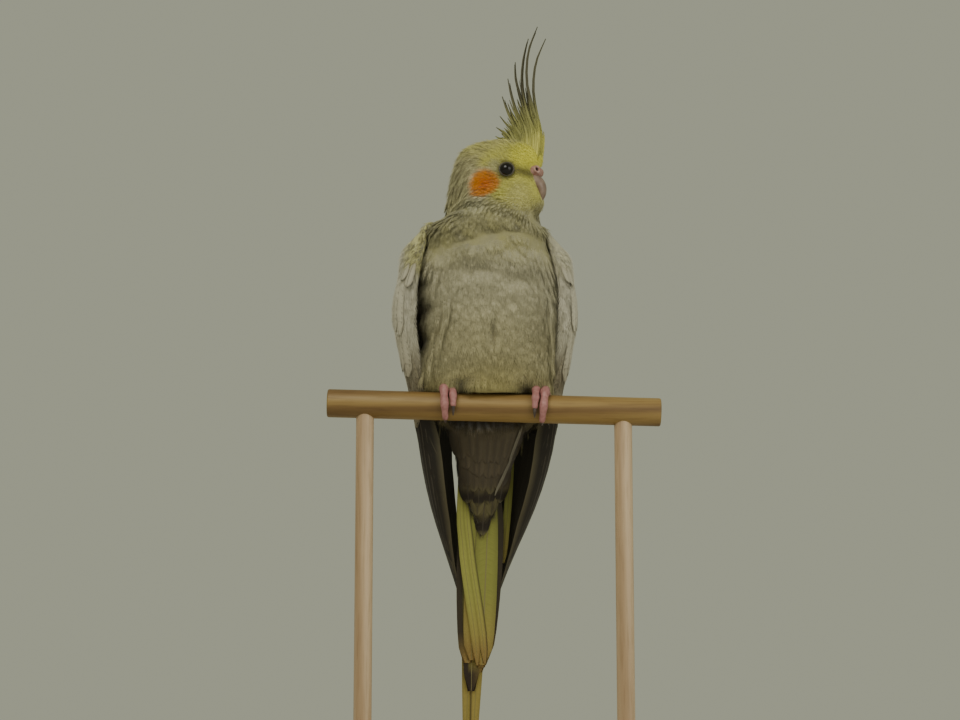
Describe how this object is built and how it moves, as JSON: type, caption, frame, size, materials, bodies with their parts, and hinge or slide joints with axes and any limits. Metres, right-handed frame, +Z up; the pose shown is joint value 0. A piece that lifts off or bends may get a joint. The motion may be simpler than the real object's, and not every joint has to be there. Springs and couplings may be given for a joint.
{
  "type": "cockatiel model",
  "caption": "Life-size still model of a crested cockatiel gripping a cut length of dowel, held by a plain display stand with a flat base.",
  "frame": {"origin": "centre of the base's underside", "axes": "+Z up, the bird's breast faces -Y, and the bird's left side is towards +X"},
  "size_m": [0.1502, 0.132, 0.358],
  "materials": {
    "breast_plumage": "soft feathers, matte",
    "face_plumage": "soft feathers, matte",
    "wing_plumage": "feathers, matte",
    "tail_plumage": "feathers, satin",
    "bill_horn": "horn, satin",
    "cere_skin": "bare skin, matte",
    "eye": "glossy",
    "foot_skin": "scaled skin, matte",
    "claw_horn": "horn, satin",
    "perch_wood": "smooth hardwood dowel, unvarnished",
    "stand_wood": "smooth plain hardwood, satin"
  },
  "bodies": {
    "root": {"torso": "breast_plumage", "neck": "breast_plumage", "head": "face_plumage", "cere": "cere_skin", "bill_upper": "bill_horn", "bill_lower": "bill_horn", "eye_left": "eye", "eye_right": "eye", "wing_left": "wing_plumage", "wing_right": "wing_plumage", "tail": "tail_plumage", "thigh_left": "breast_plumage", "thigh_right": "breast_plumage", "foot_left": "foot_skin", "foot_right": "foot_skin", "claw_left_outer_front": "claw_horn", "claw_left_inner_front": "claw_horn", "claw_left_outer_back": "claw_horn", "claw_left_inner_back": "claw_horn", "claw_right_outer_front": "claw_horn", "claw_right_inner_front": "claw_horn", "claw_right_outer_back": "claw_horn", "claw_right_inner_back": "claw_horn", "perch": "perch_wood", "stand_base": "stand_wood", "stand_rod_left": "stand_wood", "stand_rod_right": "stand_wood"}
  },
  "joints": []
}
